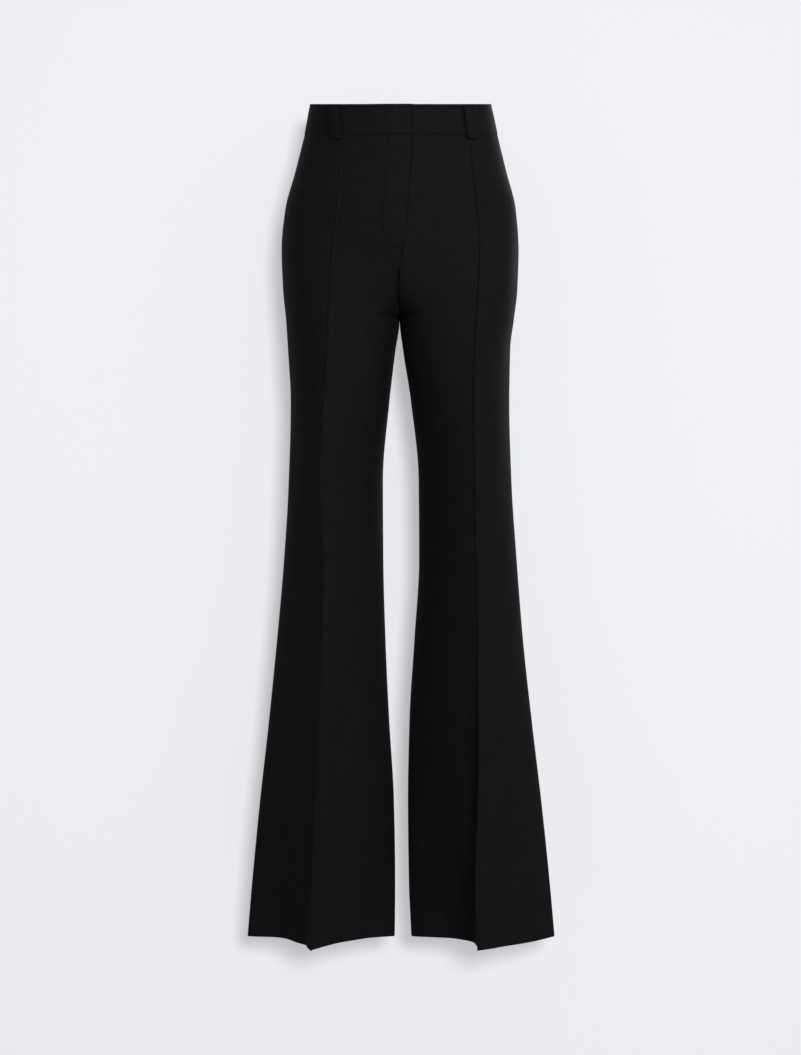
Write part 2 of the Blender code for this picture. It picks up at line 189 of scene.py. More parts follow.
def seam_depth(panel, drop):
    """How far the seam between the legs, or the inseam below the crotch, lies towards its panel."""
    behind = CROTCH_BEHIND * (1 if panel == "back" else -1)
    rise = np.clip((CROTCH_DROP - drop) / ARCH_HEIGHT[panel], 0, 1)
    arch = np.sqrt(1 - (1 - rise) ** 2)
    fade = np.clip((HEM_DROP - drop) / (HEM_DROP - CROTCH_DROP), 0, 1)
    return behind * fade + (size(BODY, panel, drop) - behind) * arch


def underlap_at(drop):
    """How far the left front runs on under the fly's lap."""
    return FLY_UNDERLAP * (1 - ease(drop, *UNDERLAP_END))


def seam_between_legs(leg, panel, drop):
    if drop >= CROTCH_DROP:
        return SIDE_OF[leg] * size(LEGS, "inseam_" + leg, drop)
    x = line_read(FRONT_SEAM if panel == "front" else BACK_SEAM, drop)
    if panel == "front" and leg == "left":
        x -= underlap_at(drop)
    return x


def flank(leg, panel, part, drop):
    """Points (x, y) of a level section, from the crease to a seam."""
    sign, depth = SIDE_OF[leg], size(LEGS, panel, drop)
    side, crease = size(OUTLINE, "side_" + leg, drop), sign * size(OUTLINE, "crease_" + leg, drop)
    end_x, end_depth, turn_in = sign * side, 0.0, 0.0
    if part == "inner":
        end_x = seam_between_legs(leg, panel, drop)
        end_depth = np.mean(seam_depth(panel, drop + SOFT_ARCH))
        turn_in = seam_depth(panel, drop) - end_depth
    way = (1 - np.cos(np.linspace(0, math.pi, CURVE_POINTS))) / 2
    x = crease + (end_x - crease) * way
    body = size(BODY, panel, drop) * superellipse(abs(x) / side, BODY_ROUNDNESS)
    pressed, flared = size(LEGS, "pressed", drop), size(LEGS, "flared", drop)
    fold = 1 - way
    if panel == "front":
        hem = HEM_FLANKS[leg, part]
        fold = (1 - flared) * fold + flared * (1 - way ** hem["reach"]) ** hem["fall"]
    else:
        pressed = pressed * BACK_PRESSED
    roundness = 2.0 if part == "outer" else size(LEGS, "squareness", drop)
    tube = (1 - pressed) * superellipse(way, roundness) + pressed * fold
    legs = ease(drop, BODY_ENDS, LEGS_BEGIN)
    y = (1 - legs) * body + legs * (end_depth + (depth - end_depth) * tube + turn_in * way**SEAM_TURN)
    return np.stack([x, FACING[panel] * y], axis=1)


print("the left hem's crease stands at", flank("left", "front", "outer", HEM_DROP)[0].round(), "mm (x, y)")

# %% [markdown]
# ## The whole form, ready to be read anywhere
#
# Every thread, stitch and fold below needs a place on the cloth. Sections are worked out once at a few hundred drops,
# closest near the crotch, where the seam turns under. Any point is then read between them by two lengths that a
# tailor would use: how far across from the crease, and how far down.

# %% Sections at every level
SHARES = np.linspace(0, 1, 121)
RUNS = (("front", "inner"), ("front", "outer"), ("back", "outer"), ("back", "inner"))
TOWARD_CREASE = (RUNS[0], RUNS[2])
SHARPEST_CORNER = 0.62
turn = np.linspace(0, math.pi / 2, 48)
LEVELS = np.unique(np.concatenate([
    np.linspace(0, HEM_DROP, 240),
    *(CROTCH_DROP - height * (1 - np.cos(turn)) for height in ARCH_HEIGHT.values()),
]))


def unit(vectors):
    return vectors / np.maximum(np.linalg.norm(vectors, axis=-1, keepdims=True), 1e-9)


def run_along(points):
    """How far along its line each point lies."""
    return np.r_[0, np.cumsum(np.linalg.norm(np.diff(points, axis=0), axis=1))]


def spaced(points, shares):
    """Points at these shares of a curve's length."""
    run = run_along(points)
    return np.stack([np.interp(np.asarray(shares) * run[-1], run, points[:, k]) for k in (0, 1)], axis=1), run[-1]


def outward(points, sign, closed):
    """Each point's outward direction, lengthened at a corner so that a wall keeps its thickness there."""
    steps = unit(np.diff(points, axis=0))
    normals = sign * np.stack([steps[:, 1], -steps[:, 0]], axis=1)
    before = np.vstack([normals[-1:] if closed else normals[:1], normals])
    after = np.vstack([normals, normals[:1] if closed else normals[-1:]])
    middle = unit(before + after)
    return middle / np.clip((middle * before).sum(1, keepdims=True), SHARPEST_CORNER, 1)


def whole_form(leg):
    """For each run of cloth round a leg: its points, outward directions and length at every level."""
    form = {run: ([], [], []) for run in RUNS}
    last = len(SHARES) - 1
    for drop in LEVELS:
        runs = []
        for run in RUNS:
            points, length = spaced(flank(leg, *run, drop), SHARES)
            form[run][2].append(length)
            runs.append(points[::-1] if run in TOWARD_CREASE else points)
        round_it = np.vstack([runs[0]] + [points[1:] for points in runs[1:]])
        out = outward(round_it, SIDE_OF[leg], drop >= CROTCH_DROP)
        for k, run in enumerate(RUNS):
            way = -1 if run in TOWARD_CREASE else 1
            for kept, values in zip(form[run], (round_it, out)):
                kept.append(values[k * last:(k + 1) * last + 1][::way])
    return {run: [np.array(values) for values in kept] for run, kept in form.items()}


FORM = {leg: whole_form(leg) for leg in SIDE_OF}
print("sections worked out:", 2 * len(LEVELS), "of", 4 * len(SHARES) - 3, "points")


# %% Read the form by lengths across and down
def flank_length(leg, panel, part, drop):
    return np.interp(drop, LEVELS, FORM[leg][panel, part][2])


def form_at(leg, panel, across, drop):
    """Points (x, y) and outward directions. Across runs from the crease: positive to the side, negative inward."""
    across, drop = np.broadcast_arrays(np.asarray(across, float), np.asarray(drop, float))
    points, directions = np.zeros(across.shape + (2,)), np.zeros(across.shape + (2,))
    for part, here in (("outer", across >= 0), ("inner", across < 0)):
        if not here.any():
            continue
        grid, out, lengths = FORM[leg][panel, part]
        level = np.interp(drop[here], LEVELS, np.arange(len(LEVELS)))
        share = np.clip(abs(across[here]) / np.interp(drop[here], LEVELS, lengths), 0, 1) * (len(SHARES) - 1)
        i = np.minimum(level.astype(int), len(LEVELS) - 2)
        j = np.minimum(share.astype(int), len(SHARES) - 2)
        u, v = (level - i)[:, None], (share - j)[:, None]
        for target, source in ((points, grid), (directions, out)):
            near = source[i, j] * (1 - v) + source[i, j + 1] * v
            far = source[i + 1, j] * (1 - v) + source[i + 1, j + 1] * v
            target[here] = near * (1 - u) + far * u
    return points, directions


def height_of(drop, y):
    """The height of a point this far down: the waist dips in front and rises a little behind."""
    slope = np.where(np.asarray(y) < 0, FRONT_SINK, BACK_RISE)
    return -drop + slope * y * (1 - ease(drop, 0, LEVEL_DROP))


front_hem = sum(float(flank_length("left", "front", part, HEM_DROP)) for part in ("inner", "outer"))
print("front panel's width at the hem:", round(front_hem), "mm")

# %% [markdown]
# ## Folds
#
# Cloth this heavy hangs in long soft troughs. They could come from a simulation, but pressed creases and a chosen
# fall are easier to place one by one: each fold is a line on the cloth with its own length, width and depth. Negative
# depth is a trough. No two are alike, and the back has folds of its own: the drag lines under the seat and the break
# behind the knee.

# %% Folds, one by one
# Each row: across and drop where the fold begins, the same where it ends, its width and its depth.
FOLDS = {
    # The trough beside the crease that opens down the flare, and the calm thigh above it.
    "front_right": (
        (30, 640, 34, 1118, 11, -3.4), (52, 760, 62, 1118, 15, 1.6),
        (82, 900, 96, 1118, 14, -1.3), (-34, 560, -30, 960, 18, -1.1),
        (-70, 820, -84, 1118, 16, 1.2), (-96, 930, -112, 1118, 11, -1.0),
        (-62, 292, -22, 360, 8, -0.8), (-66, 318, -30, 430, 11, 0.7),
        (-74, 262, -44, 296, 6, -0.7), (34, 236, 60, 420, 14, -0.7),
        (44, 110, 58, 214, 12, -0.6), (-44, 72, -30, 176, 12, 0.5),
        (22, 452, 40, 560, 15, 0.7), (-52, 470, -24, 540, 13, -0.6),
    ),
    # The deep trough along the inner side of the crease, which makes the step at the hem.
    "front_left": (
        (-9, 700, -13, 1118, 6, -2.2), (-26, 820, -34, 1118, 12, 1.3),
        (-78, 760, -92, 1118, 15, -2.0), (-60, 900, -66, 1118, 11, 0.9),
        (40, 820, 52, 1118, 20, -1.0), (84, 900, 98, 1118, 14, 0.9),
        (-72, 288, -30, 350, 8, -0.9), (-70, 312, -34, 420, 11, 0.8),
        (-80, 262, -56, 290, 6, -0.8), (26, 250, 48, 400, 13, -0.8),
        (32, 96, 44, 196, 11, -0.6), (-52, 84, -40, 190, 14, 0.5),
        (-40, 480, -16, 590, 14, -0.7), (30, 520, 38, 680, 16, 0.7),
    ),
    # Drag lines from under the seat, the hollow above the calf, and the flare's own folds.
    "back_right": (
        (-84, 296, -30, 334, 9, -2.0), (-80, 322, -22, 372, 11, 1.3),
        (-66, 350, -14, 410, 10, -1.3), (18, 300, 62, 356, 12, -1.0),
        (-30, 570, 34, 602, 13, -1.4), (-40, 604, 20, 640, 12, 0.9),
        (34, 700, 44, 1118, 16, -2.2), (72, 840, 88, 1118, 14, 1.4),
        (-40, 760, -52, 1118, 17, -1.8), (-82, 880, -96, 1118, 13, 1.1),
        (40, 96, 66, 210, 15, -0.7),
    ),
    # The same kinds of fold, in other places.
    "back_left": (
        (-88, 294, -36, 330, 8, -1.8), (-84, 318, -26, 380, 12, 1.4),
        (-72, 352, -24, 398, 9, -1.2), (14, 310, 58, 350, 11, -0.9),
        (-36, 584, 26, 610, 12, -1.2), (-26, 618, 40, 646, 14, 0.9),
        (30, 730, 36, 1118, 14, -2.0), (66, 820, 84, 1118, 16, 1.2),
        (-46, 720, -60, 1118, 15, -2.0), (-88, 900, -98, 1118, 12, 1.3),
        (44, 104, 60, 224, 13, -0.7),
    ),
}
TAPER, BOW = 0.62, 0.05


def folds_on(panel_name, across, drop):
    """How far the folds lift the cloth off its form at these places, in millimetres."""
    total = np.zeros(np.broadcast(across, drop).shape)
    for from_across, from_drop, to_across, to_drop, width, depth in FOLDS[panel_name]:
        run = np.array([to_across - from_across, to_drop - from_drop], float)
        length = np.linalg.norm(run)
        here = np.array([across - from_across, drop - from_drop])
        along = (here[0] * run[0] + here[1] * run[1]) / length**2
        bow = BOW * length * np.sin(np.pi * np.clip(along, 0, 1))
        aside = (here[0] * run[1] - here[1] * run[0]) / length + bow
        runs_off = to_drop > HEM_DROP
        swell = np.sin(np.pi * np.clip(along * (0.5 if runs_off else 1.0), 0, 1)) ** (2 * TAPER)
        swell = np.where((along < 0) | ((along > 1) & (not runs_off)), 0, swell)
        total = total + depth * swell * np.exp(-((aside / width) ** 2))
    return total


print("folds placed by hand:", {panel: len(folds) for panel, folds in FOLDS.items()})

# %% [markdown]
# ## A little unevenness
#
# Between its folds real cloth is never perfectly smooth. A sum of slow waves with fixed phases gives a gentle,
# repeatable unrest, longer down the leg than across it. A noise texture would do the same in a material, but only
# real relief changes the outline and the way a long highlight breaks.

# %% Slow waves
waves = np.random.default_rng(17)
WAVE_COUNT = 26
WAVES = np.stack([
    waves.uniform(1 / 190, 1 / 44, WAVE_COUNT) * waves.choice([-1, 1], WAVE_COUNT),
    waves.uniform(1 / 520, 1 / 120, WAVE_COUNT) * waves.choice([-1, 1], WAVE_COUNT),
    waves.uniform(0, 2 * math.pi, WAVE_COUNT),
], axis=1)
UNREST = 0.20


def unrest(seed, across, drop):
    total = np.zeros(np.broadcast(across, drop).shape)
    for a, b, phase in WAVES:
        total = total + np.sin(2 * np.pi * (a * across + b * drop) + phase * (1 + seed))
    return UNREST * total / math.sqrt(WAVE_COUNT / 2)


print("unrest between folds: about", UNREST, "mm")

# %% [markdown]
# ## A shell of cloth
#
# A wall of cloth has two skins and rolled edges. A Solidify modifier makes such a wall from one skin, but it can't
# round a hem or thicken the turned-up cloth at its foot. So both skins are worked out as grids of points, and this
# helper joins them at their rims and gives the mesh its measured texture coordinates: one map in metres of cloth for
# the weave, and one that lays the whole piece out flat.

# %% Two skins become one shell
CLOTH_UV, FLAT_UV = "Cloth", "OFBake"
PAGE, MARGIN = (0.48, 0.98), 0.01


def new_thing(name, data):
    """An object in the scene for a mesh, a lamp or a camera."""
    thing = bpy.data.objects.new(name, data)
    bpy.context.scene.collection.objects.link(thing)
    return thing


def shell(name, outer, inner, across, down, finishes):
    """A closed wall between two grids of points (rows, columns, xyz) in millimetres."""
    rows, columns = outer.shape[:2]
    count = rows * columns
    index = np.arange(count).reshape(rows, columns)
    quads = np.stack([index[:-1, :-1], index[:-1, 1:], index[1:, 1:], index[1:, :-1]], axis=-1).reshape(-1, 4)
    rim = np.concatenate([index[0, :-1], index[:-1, -1], index[-1, :0:-1], index[:0:-1, 0]])
    after = np.roll(rim, -1)
    band = np.stack([after, rim, rim + count, after + count], axis=1)
    faces = np.vstack([quads, quads[:, ::-1] + count, band])
    points = np.vstack([outer.reshape(-1, 3), inner.reshape(-1, 3)]) * MM
    centre = outer[:, :, :2].mean((0, 1))
    a, b, c = (outer.reshape(-1, 3)[quads[:, k]] for k in (0, 1, 3))
    facing = np.cross(b - a, c - a)[:, :2]
    if (facing * (a[:, :2] - centre)).sum() < 0:
        faces = faces[:, ::-1]
    mesh = bpy.data.meshes.new(name)
    mesh.from_pydata(points.tolist(), [], faces.tolist())
    mesh.shade_smooth()
    corners = np.zeros(len(mesh.loops), int)
    mesh.loops.foreach_get("vertex_index", corners)
    flat = np.stack([across.ravel(), -down.ravel()], axis=1) * MM
    low, high = flat.min(0), flat.max(0)
    laid = (flat - low) / (high - low)
    sides = np.vstack([laid * PAGE + MARGIN, laid * PAGE + (0.5 + MARGIN, MARGIN)])
    for layer, values in ((CLOTH_UV, np.vstack([flat, flat])), (FLAT_UV, sides)):
        uv = mesh.uv_layers.new(name=layer)
        uv.uv.foreach_set("vector", values[corners].astype(np.float32).ravel())
    for finish in finishes:
        mesh.materials.append(finish)
    inside = np.zeros(len(faces), int)
    inside[len(quads):2 * len(quads)] = 1
    mesh.polygons.foreach_set("material_index", inside)
    mesh.update()
    return new_thing(name, mesh)


print("each shell gets the maps", CLOTH_UV, "and", FLAT_UV)

# %% [markdown]
# ## Material maths
#
# A shader is arithmetic on sockets. Wrapping a socket in a small class lets a finish be written as ordinary Python:
# values go through Math nodes, vectors through Vector Math and colours through Mix, and every other node comes from
# one method.

# %% A socket that does arithmetic
def operator(kind, reflected=False):
    return lambda self, other: self.maths(kind, *((other, self) if reflected else (self, other)))


class Wire:
    __add__ = __radd__ = operator("ADD")
    __mul__ = __rmul__ = operator("MULTIPLY")
    __sub__, __rsub__ = operator("SUBTRACT"), operator("SUBTRACT", reflected=True)
    __truediv__, __rtruediv__ = operator("DIVIDE"), operator("DIVIDE", reflected=True)

    def __init__(self, tree, socket):
        self.tree, self.socket = tree, socket

    def node(self, kind, settings=(), inputs=(), output=0):
        """Any node: its settings first, then its sockets, each a number, a colour or a wire."""
        made = self.tree.nodes.new("ShaderNode" + kind)
        for key, value in dict(settings).items():
            setattr(made, key, value)
        for key, value in dict(inputs).items():
            if isinstance(value, Wire):
                self.tree.links.new(value.socket, made.inputs[key])
            else:
                made.inputs[key].default_value = value
        return Wire(self.tree, made.outputs[output]) if output is not None else None

    def beside(self, output):
        """Another output of the node that this wire leaves."""
        return Wire(self.tree, self.socket.node.outputs[output])

    def maths(self, operation, *values):
        kind = "VectorMath" if self.socket.type == "VECTOR" else "Math"
        return self.node(kind, {"operation": operation}, dict(enumerate(values)))

    def fraction(self):
        return self.maths("FRACT", self)

    def absolute(self):
        return self.maths("ABSOLUTE", self)

    def between(self, low, high, to_low=0.0, to_high=1.0):
        return self.node("MapRange", {"clamp": True}, {0: self, 1: low, 2: high, 3: to_low, 4: to_high})

    def tint(self, dark, light):
        """A colour between two, where this value is the share of the second; it may pass below the first."""
        settings = {"data_type": "RGBA", "clamp_factor": False}
        return self.node("Mix", settings, {0: self, 6: dark, 7: light}, output=2)


def new_finish(name, sheen, sheen_roughness, specular, sheen_tint=(1, 1, 1, 1)):
    """A material with its constants set on the shader, and a wire to build its patterns from."""
    material = bpy.data.materials.new(name)
    material.use_nodes = True
    shader = material.node_tree.nodes["Principled BSDF"]
    shader.inputs["Sheen Weight"].default_value = sheen
    shader.inputs["Sheen Roughness"].default_value = sheen_roughness
    shader.inputs["Sheen Tint"].default_value = sheen_tint
    shader.inputs["Specular IOR Level"].default_value = specular
    return material, shader, Wire(material.node_tree, shader.outputs[0])


def dimmed(colour, share):
    return tuple(c * share for c in colour[:3]) + (1,)


def finish_with(material, shader, **drives):
    for name, wire in drives.items():
        material.node_tree.links.new(wire.socket, shader.inputs[name.replace("_", " ")])
    return material


print("sockets can now be added, taken away, multiplied and divided")

# %% [markdown]
# ## Black wool twill
#
# The cloth is a fine, heavy wool twill: ribs under a millimetre apart climb to the right, each broken into short
# floats where the threads cross, with a few thicker yarns. Black dye still shows in the light as a slightly warm,
# matt grey, and the nap catches light where it is seen along the surface. The weave could be real geometry, but at
# this pitch that would be millions of faces, so it is a bump read from the cloth's own metres. Each mesh also keeps
# how far its points lie from the nearest line of stitches or edge of a lap: there the thread or the lap pulls a groove
# into the bump, and its shade is painted darker into the colour. The waistband's folded top edge has a painted
# highlight, a little lighter.

# %% Twill
INK, WORN = (0.0031, 0.0029, 0.0030, 1), (0.0050, 0.0047, 0.0049, 1)
RIB, FLOAT, SLOPE = 0.00078, 0.00110, 1.9
GROOVE_AND_SHADE_LINE, GROOVE, FOLD_HIGHLIGHT_REACH = "groove_and_painted_shade_line", 0.0011, 0.0034
GROOVE_PAINTED_SHADE, GROOVE_DEPTH, FOLD_PAINTED_HIGHLIGHT = 0.65, 1.6, 2.2


def twill(name, turned=False, darker=1.0, sheen=0.009):
    """Twill in metres of cloth; turned where the piece is cut along the warp, and then with a painted highlight along
    its folded top edge.
    """
    material, shader, pin = new_finish(name, sheen, 0.42, 0.03, (1.0, 0.96, 0.98, 1))
    place = pin.node("UVMap", {"uv_map": CLOTH_UV})
    split = pin.node("SeparateXYZ", {}, {0: place})
    u, v = (split.beside(1), split) if turned else (split, split.beside(1))
    rib = ((u * SLOPE + v) / (RIB * SLOPE)).fraction()
    cross = (v / FLOAT - u * (0.5 / RIB)).fraction()
    weave = rib * (1 - rib) * 4 * (cross.between(0.0, 0.22) * cross.between(1.0, 0.78))
    slow = pin.node("TexNoise", {"noise_dimensions": "2D"}, {"Vector": place, "Scale": 46.0, "Detail": 3.0})
    yarn, pick = (
        pin.node("TexNoise", {"noise_dimensions": "2D"}, {"Vector": place * stretch, "Scale": 1.0, "Detail": 2.0})
        for stretch in ((900.0, 40.0, 1.0), (40.0, 900.0, 1.0))
    )
    worn = (slow * 0.15 + yarn * 0.5 + pick * 0.35).between(0.34, 0.66)
    away = (pin.node("Attribute", {"attribute_name": GROOVE_AND_SHADE_LINE}, {}, output="Fac") - 1).absolute()
    sunk = away.between(0.0003, GROOVE, 1.0, 0.0)
    # Painted shade: along the grooves of stitches and lap edges the colour is painted darker than the cloth.
    shade = (worn * 0.8 + weave * 0.2) * (1 - sunk) - sunk * GROOVE_PAINTED_SHADE
    if turned:
        # Painted highlight: the band's top two millimetres are painted lighter, where the folded edge would catch the
        # light.
        shade = shade + u.between(-FOLD_HIGHLIGHT_REACH, -0.6 * FOLD_HIGHLIGHT_REACH) * FOLD_PAINTED_HIGHLIGHT
    colour = shade.tint(dimmed(INK, darker), dimmed(WORN, darker))
    relief = weave * 0.55 + yarn * 0.30 + pick * 0.15 - sunk * GROOVE_DEPTH
    bump = pin.node("Bump", {}, {"Strength": 0.55, "Distance": 0.00012, "Height": relief})
    rough = worn.between(0.0, 1.0, 0.80, 0.68)
    return finish_with(material, shader, Base_Color=colour, Roughness=rough, Normal=bump)


CLOTH = twill("wool_twill")
CLOTH_INSIDE = twill("wool_twill_inside", darker=0.9, sheen=0.006)
BAND_CLOTH = twill("wool_twill_band", turned=True)
print("finishes:", [m.name for m in (CLOTH, CLOTH_INSIDE, BAND_CLOTH)])

# %% [markdown]
# ## Black thread
#
# Sewing thread is smoother than wool and twisted from fine strands. It is a few tenths of a millimetre thick, so a
# fine noise in the place of a drawn twist gives its strands: more would not show.

# %% Thread
def thread(name):
    material, shader, pin = new_finish(name, 0.0, 0.3, 0.06)
    place = pin.node("TexCoord", {}, {}, output="Object")
    strand = pin.node("TexNoise", {"noise_dimensions": "3D"}, {"Vector": place, "Scale": 2600.0, "Detail": 1.0})
    colour = strand.tint((0.0022, 0.0020, 0.0022, 1), (0.0046, 0.0043, 0.0046, 1))
    bump = pin.node("Bump", {}, {"Strength": 0.4, "Distance": 0.00008, "Height": strand})
    rough = strand.between(0.2, 0.8, 0.50, 0.66)
    return finish_with(material, shader, Base_Color=colour, Roughness=rough, Normal=bump)


THREAD = thread("black_thread")
print("thread:", THREAD.name)

# %% [markdown]
# ## Leg panels
#
# Four panels make the trousers: each runs from the waist seam to the hem, and from a side seam to the seam between
# the legs. Rows of points follow the arch of the crotch, as the cut does. Columns crowd at the crease, which is a
# stitched ridge on the fronts, and at the seams, where the edge rolls in. The foot is doubled by the turned-up hem.

# %% Relief of seams, crease, fly and hem
WALL, HEM_WALL, HEM_ROUND, SEAM_GAP, FAR = 1.4, 2.5, 1.2, 0.05, 99.0
CALM = {"side": 14, "seam": 16, "waist": 26, "crease": 5.0, "fly": 16, "fly_foot": 40}  # where folds die out
LOOP_DROP = 47.0
TUCK = {"half": 1.25, "height": 1.0, "start": (LOOP_DROP, LOOP_DROP + 16)}
GUTTER = {"away": 2.1, "half": 0.7, "depth": 0.25}
ROLL_REACH, ROLL_DEPTH, LAP_ROUND = 2.2, 0.85, 0.75
LAP_FADE, LAP_FOOT = (27.0, 68.0), (FLY_DROP - 38, FLY_DROP + 34)
BLIND_HEM = {"drop": HEM_DROP - HEM_TURN + 1.5, "half": 2.2, "depth": 0.18}
DART = {"foot": (122.0, 152.0), "half": 0.8, "depth": 0.7}


def rolled(from_edge, radius):
    """How far a rounded edge has sunk this close to its end."""
    short = np.clip(radius - from_edge, 0, radius)
    return radius - np.sqrt(np.clip(radius**2 - short**2, 0, None))


def panel_relief(leg, panel, across, drop):
    """(rise of both skins, rise of the outer skin alone) over the form."""
    name = f"{panel}_{leg}"
    outer_length = flank_length(leg, panel, "outer", drop)
    inner_length = flank_length(leg, panel, "inner", drop)
    from_side, from_seam = outer_length - across, inner_length + across
    calm = ease(from_side, 0, CALM["side"]) * ease(from_seam, 0, CALM["seam"])
    calm = calm * ease(drop, BAND_DROP, BAND_DROP + CALM["waist"])
    by_fly = 1.0
    if panel == "front":
        beside = ease(from_seam, FLY_WIDTH, FLY_WIDTH + CALM["fly"])
        below = ease(drop, FLY_DROP, FLY_DROP + CALM["fly_foot"])
        by_fly = 1 - (1 - beside) * (1 - below)
    both = (folds_on(name, across, drop) + unrest(len(name) + SIDE_OF[leg], across, drop)) * calm * by_fly
    both = both * (1 - 0.9 * np.exp(-((across / CALM["crease"]) ** 2)))
    if name == "front_right":
        both = both + FLY_RISE * (1 - ease(from_seam, *LAP_FADE)) * (1 - ease(drop, *LAP_FOOT))
    lap = (panel == "front") * (1 - ease(drop, FLY_DROP - 6, FLY_DROP + 6))
    outer = -ROLL_DEPTH * (1 - ease(from_side, 0, ROLL_REACH))
    outer = outer - ROLL_DEPTH * (1 - ease(from_seam, 0, ROLL_REACH)) * (1 - lap) - rolled(from_seam, LAP_ROUND) * lap
    if panel == "front":
        tuck = np.sqrt(np.clip(1 - (across / TUCK["half"]) ** 2, 0, 1))
        outer = outer + TUCK["height"] * tuck * ease(drop, *TUCK["start"])
        gutter = np.exp(-(((abs(across) - GUTTER["away"]) / GUTTER["half"]) ** 2))
        outer = outer - GUTTER["depth"] * gutter * ease(drop, *TUCK["start"])
    else:
        outer = outer - DART["depth"] * np.exp(-((across / DART["half"]) ** 2)) * (1 - ease(drop, *DART["foot"]))
    caught = np.exp(-(((drop - BLIND_HEM["drop"]) / BLIND_HEM["half"]) ** 2))
    outer = outer - BLIND_HEM["depth"] * caught * (0.6 + 0.4 * np.sin(across / 1.15))
    return both, outer - rolled(HEM_DROP - drop, HEM_ROUND)


print("seam's groove", ROLL_DEPTH, "mm deep, stitched crease", TUCK["height"], "mm high")


# %% Points of a panel at any place
HEM_LIFT_REACH, TURN_SOFT = 20, 0.8


def hem_lift(leg, panel, across, drop):
    """How far a front hem rises between its crease and its seams."""
    if panel == "back":
        return 0.0 * across
    lift = 0
    for part, sign in (("outer", 1), ("inner", -1)):
        way = np.clip(sign * across / flank_length(leg, panel, part, drop), 0, 1)
        lift = lift + HEM_FLANKS[leg, part]["lift"] * np.sin(np.pi * way)
    return lift * ease(drop, HEM_DROP - HEM_LIFT_REACH, HEM_DROP)


def cloth_points(leg, panel, across, drop, inside=False):
    """Points of a leg panel's outer or inner skin, in millimetres."""
    across, drop = np.broadcast_arrays(np.asarray(across, float), np.asarray(drop, float))
    points, directions = form_at(leg, panel, across, drop)
    both, outer = panel_relief(leg, panel, across, drop)
    hem = ease(drop, HEM_DROP - HEM_TURN - TURN_SOFT, HEM_DROP - HEM_TURN + TURN_SOFT)
    wall = WALL + (HEM_WALL - WALL) * hem - rolled(HEM_DROP - drop, HEM_ROUND)
    rise = both - wall if inside else both + outer
    moved = points + directions * np.asarray(rise)[..., None]
    height = height_of(drop, points[..., 1]) + hem_lift(leg, panel, across, drop)
    return np.concatenate([moved, height[..., None]], axis=-1)


print("hem's fold at the right front crease (mm):", cloth_points("right", "front", [0.0], HEM_DROP).round())


# %% Rows and columns of a panel
CREASE_COLUMNS = (0, 0.4, 0.8, 1.1, 1.55, 2.0, 3.4, 5.5, 8.5)
SEAM_COLUMNS = (7.5, 4.5, 2.6, 1.5, 0.7, SEAM_GAP)
HEM_ROWS = (HEM_TURN - 1, 34, 29, 24, 19, 14.5, 10.5, 7, 4.4, 2.6, 1.5, 0.9, 0.45, 0.15, 0)
EVEN_COLUMNS, BODY_ROWS, LEG_ROWS = 24, 58, 168


def columns_over(length):
    """Distances from the crease to a seam, close together at both ends."""
    near, far = np.array(CREASE_COLUMNS), np.array(SEAM_COLUMNS)
    step = np.linspace(0, 1, EVEN_COLUMNS + 2)[1:-1]
    length = np.asarray(length)[..., None]
    middle = near[-1] + (length - far[0] - near[-1]) * step
    return np.concatenate([np.broadcast_to(near, middle.shape[:-1] + near.shape), middle, length - far], axis=-1)


def panel_rows(panel):
    """Each row's drop at the side seam and at the seam between the legs."""
    top = CROTCH_DROP - ARCH_HEIGHT[panel]
    straight = BODY_ROWS // 2
    upper = np.linspace(BAND_DROP, top, straight + 1)[:-1]
    arch = CROTCH_DROP - ARCH_HEIGHT[panel] * (1 - np.cos(np.linspace(math.pi / 2, 0, BODY_ROWS - straight)))
    leg = np.linspace(CROTCH_DROP, HEM_DROP - HEM_TURN - 1, LEG_ROWS)[1:]
    below = np.concatenate([leg, HEM_DROP - np.array(HEM_ROWS)])
    at_side = np.concatenate([np.linspace(BAND_DROP, CROTCH_DROP, BODY_ROWS), below])
    return at_side, np.concatenate([upper, arch, below])


print("rows of a panel:", len(panel_rows("front")[0]))


# %% How far a point lies from the nearest stitches
FLY_LINE = ((44, 31.0), (120, 31.0), (176, 30.0), (192, 25.5), (201, 18.0), (206, 9.0), (208, 3.0))
CREASE_STITCH, CREASE_ZONE, LAP_LINE = 1.55, 6, 0.6
NEAR_FLY, LAP_LINE_END = {"seam": 60, "drop": 240}, (FLY_DROP + 20, FLY_DROP + 60)


def fly_path(points=240):
    """Places along the fly's line of stitches: drop, and distance from the seam."""
    drops, aways = (np.array(column, float) for column in zip(*FLY_LINE))
    chord = np.r_[0, np.cumsum(np.hypot(np.diff(drops), np.diff(aways)))]
    t = np.linspace(0, chord[-1], points)
    return smooth_read(chord, drops, t), smooth_read(chord, aways, t)


def away_from_stitches(leg, panel, across, drop):
    """Signed distance to the nearest line of stitches, or on the left front to the lap's edge, in millimetres: for the
    bump groove there and its painted shade.
    """
    if panel == "back":
        return np.full(across.shape, FAR)
    crease = np.where(drop > LOOP_DROP + 4, abs(across + SIDE_OF[leg] * CREASE_STITCH), FAR)
    from_seam = across + flank_length(leg, panel, "inner", drop)
    # On the left front the line is the edge of the fly's lap above it, whose shadow is painted into the colour there.
    if leg == "left":
        line = (from_seam - underlap_at(drop)) * LAP_LINE + FAR * ease(drop, *LAP_LINE_END)
    else:
        drops, aways = fly_path(120)
        line = np.full(across.shape, FAR)
        near = (from_seam < NEAR_FLY["seam"]) & (drop < NEAR_FLY["drop"])
        line[near] = np.hypot(drop[near][:, None] - drops, from_seam[near][:, None] - aways).min(1)
        line = np.where((from_seam < np.interp(drop, drops, aways)) & (drop < drops[-1]), -line, line)
    return np.where(abs(across) < CREASE_ZONE, crease, line)


